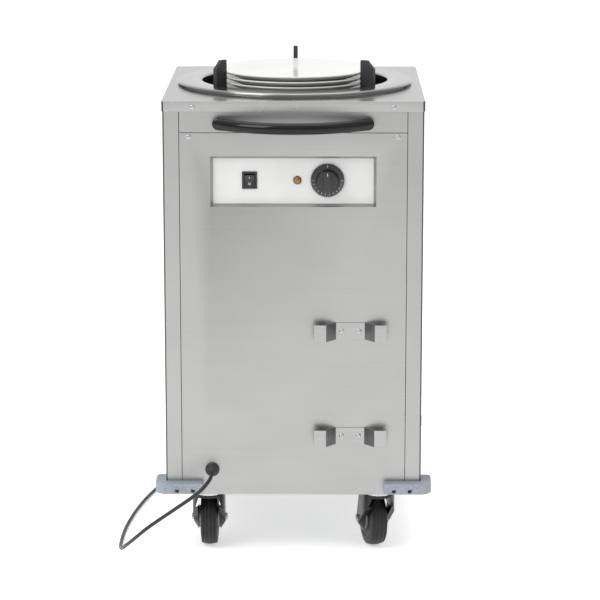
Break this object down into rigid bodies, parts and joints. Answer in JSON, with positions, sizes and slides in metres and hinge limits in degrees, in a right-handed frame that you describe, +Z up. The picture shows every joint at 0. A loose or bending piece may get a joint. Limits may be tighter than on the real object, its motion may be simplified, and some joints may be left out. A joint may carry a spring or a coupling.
{
  "type": "plate dispenser cart",
  "caption": "Stainless cabinet on swivel casters with a round self-levelling heated plate well, guides, control panel, bow handle and lead cleats.",
  "frame": {"origin": "on the floor under the axis of the plate well, which is the middle of the cabinet", "axes": "+Z up along the well's axis; +Y from the control panel to the back; +X to the right, seen from the control panel"},
  "size_m": [0.5575, 0.6932, 0.86],
  "materials": {
    "panel_steel": "brushed stainless sheet, grain across the panels",
    "ring_steel": "spun and polished stainless ring",
    "bare_steel": "plain stainless sheet and rod",
    "spring_steel": "drawn spring wire",
    "fascia_white": "smooth white enamelled plate",
    "switch_black": "moulded black plastic",
    "knob_black": "moulded black plastic with white marks",
    "amber_lens": "clear amber lens",
    "inner_plastic": "moulded heat-proof plastic",
    "element_sheath": "heat-darkened sheath",
    "handle_black": "glossy black moulding",
    "zinc": "bright zinc plating",
    "bumper_grey": "speckled grey-blue moulding",
    "guide_black": "rough black moulding",
    "plate_white": "white glazed porcelain",
    "fork_black": "black coated pressing",
    "tyre_rubber": "smooth black rubber",
    "hub_grey": "pale moulded bush",
    "lead_black": "black flexible sheath"
  },
  "bodies": {
    "cabinet": {"top_pan": "panel_steel", "side_panel_left": "panel_steel", "side_panel_right": "panel_steel", "header_panel": "panel_steel", "front_panel": "panel_steel", "back_panel": "panel_steel", "base_pan": "panel_steel", "well_ring": "ring_steel", "well_tube": "bare_steel", "well_floor": "bare_steel", "post_brackets": "bare_steel", "control_box": "bare_steel", "cleat_upper": "bare_steel", "cleat_lower": "bare_steel", "carrier_springs": "spring_steel", "fascia": "fascia_white", "switch_housing": "switch_black", "lamp": "amber_lens", "thermostat_body": "inner_plastic", "heating_element": "element_sheath", "handle": "handle_black", "handle_screws": "zinc", "panel_screws": "zinc", "bumper_screws": "zinc", "caster_plates": "zinc", "bumper_front_left": "bumper_grey", "bumper_front_right": "bumper_grey", "bumper_rear_left": "bumper_grey", "bumper_rear_right": "bumper_grey", "gland": "lead_black", "lead": "lead_black", "lead_coil": "lead_black", "plug": "lead_black"},
    "carrier": {"carrier_plate": "bare_steel", "carrier_frame": "bare_steel", "plate_2": "plate_white", "plate_3": "plate_white", "plate_4": "plate_white"},
    "top_plate": {"plate_1": "plate_white"},
    "knob_body": {"knob": "knob_black", "thermostat_shaft": "bare_steel"},
    "rocker_body": {"rocker": "switch_black"},
    "guide_body_rear": {"guide_rear": "guide_black", "guide_post_rear": "bare_steel"},
    "guide_body_left": {"guide_left": "guide_black", "guide_post_left": "bare_steel"},
    "guide_body_right": {"guide_right": "guide_black", "guide_post_right": "bare_steel"},
    "swivel_front_left": {"fork_front_left": "fork_black"},
    "wheel_front_left": {"tyre_front_left": "tyre_rubber", "hub_front_left": "hub_grey"},
    "swivel_front_right": {"fork_front_right": "fork_black"},
    "wheel_front_right": {"tyre_front_right": "tyre_rubber", "hub_front_right": "hub_grey"},
    "swivel_rear_left": {"fork_rear_left": "fork_black"},
    "wheel_rear_left": {"tyre_rear_left": "tyre_rubber", "hub_rear_left": "hub_grey"},
    "swivel_rear_right": {"fork_rear_right": "fork_black"},
    "wheel_rear_right": {"tyre_rear_right": "tyre_rubber", "hub_rear_right": "hub_grey"}
  },
  "joints": [
    {"name": "carrier_slide", "type": "slide", "parent": "cabinet", "child": "carrier", "axis": [0, 0, 1], "range_m": [-0.32, 0.02], "stiffness_N_per_m": 740, "springref_m": 0.0554, "deforming": ["carrier_springs"]},
    {"name": "top_plate_lift", "type": "slide", "parent": "carrier", "child": "top_plate", "axis": [0, 0, 1], "range_m": [0, 0.15]},
    {"name": "thermostat_turn", "type": "hinge", "parent": "cabinet", "child": "knob_body", "pos_m": [0.059, -0.24, 0.672], "axis": [0, 1, 0], "range_deg": [0, 270]},
    {"name": "switch_rock", "type": "hinge", "parent": "cabinet", "child": "rocker_body", "pos_m": [-0.0755, -0.232, 0.672], "axis": [-1, 0, 0], "range_deg": [0, 16]},
    {"name": "guide_rear_swing", "type": "hinge", "parent": "cabinet", "child": "guide_body_rear", "pos_m": [0, 0.1573, 0.5], "axis": [0, 0, 1], "range_deg": [-90, 90]},
    {"name": "guide_left_swing", "type": "hinge", "parent": "cabinet", "child": "guide_body_left", "pos_m": [-0.13623, -0.07865, 0.5], "axis": [0, 0, 1], "range_deg": [-108, 72]},
    {"name": "guide_right_swing", "type": "hinge", "parent": "cabinet", "child": "guide_body_right", "pos_m": [0.13623, -0.07865, 0.5], "axis": [0, 0, 1], "range_deg": [-90, 90]},
    {"name": "swivel_front_left_turn", "type": "hinge", "parent": "cabinet", "child": "swivel_front_left", "pos_m": [-0.151, -0.212, 0.1], "axis": [0, 0, 1], "continuous": true},
    {"name": "wheel_front_left_roll", "type": "hinge", "parent": "swivel_front_left", "child": "wheel_front_left", "pos_m": [-0.151, -0.176, 0.05], "axis": [1, 0, 0], "continuous": true},
    {"name": "swivel_front_right_turn", "type": "hinge", "parent": "cabinet", "child": "swivel_front_right", "pos_m": [0.151, -0.212, 0.1], "axis": [0, 0, 1], "continuous": true},
    {"name": "wheel_front_right_roll", "type": "hinge", "parent": "swivel_front_right", "child": "wheel_front_right", "pos_m": [0.14229, -0.17707, 0.05], "axis": [0.9703, 0.2419, 0], "continuous": true},
    {"name": "swivel_rear_left_turn", "type": "hinge", "parent": "cabinet", "child": "swivel_rear_left", "pos_m": [-0.151, 0.212, 0.1], "axis": [0, 0, 1], "continuous": true},
    {"name": "wheel_rear_left_roll", "type": "hinge", "parent": "swivel_rear_left", "child": "wheel_rear_left", "pos_m": [-0.15601, 0.17635, 0.05], "axis": [-0.9903, 0.1392, 0], "continuous": true},
    {"name": "swivel_rear_right_turn", "type": "hinge", "parent": "cabinet", "child": "swivel_rear_right", "pos_m": [0.151, 0.212, 0.1], "axis": [0, 0, 1], "continuous": true},
    {"name": "wheel_rear_right_roll", "type": "hinge", "parent": "swivel_rear_right", "child": "wheel_rear_right", "pos_m": [0.16032, 0.17723, 0.05], "axis": [-0.9659, -0.2588, 0], "continuous": true}
  ]
}
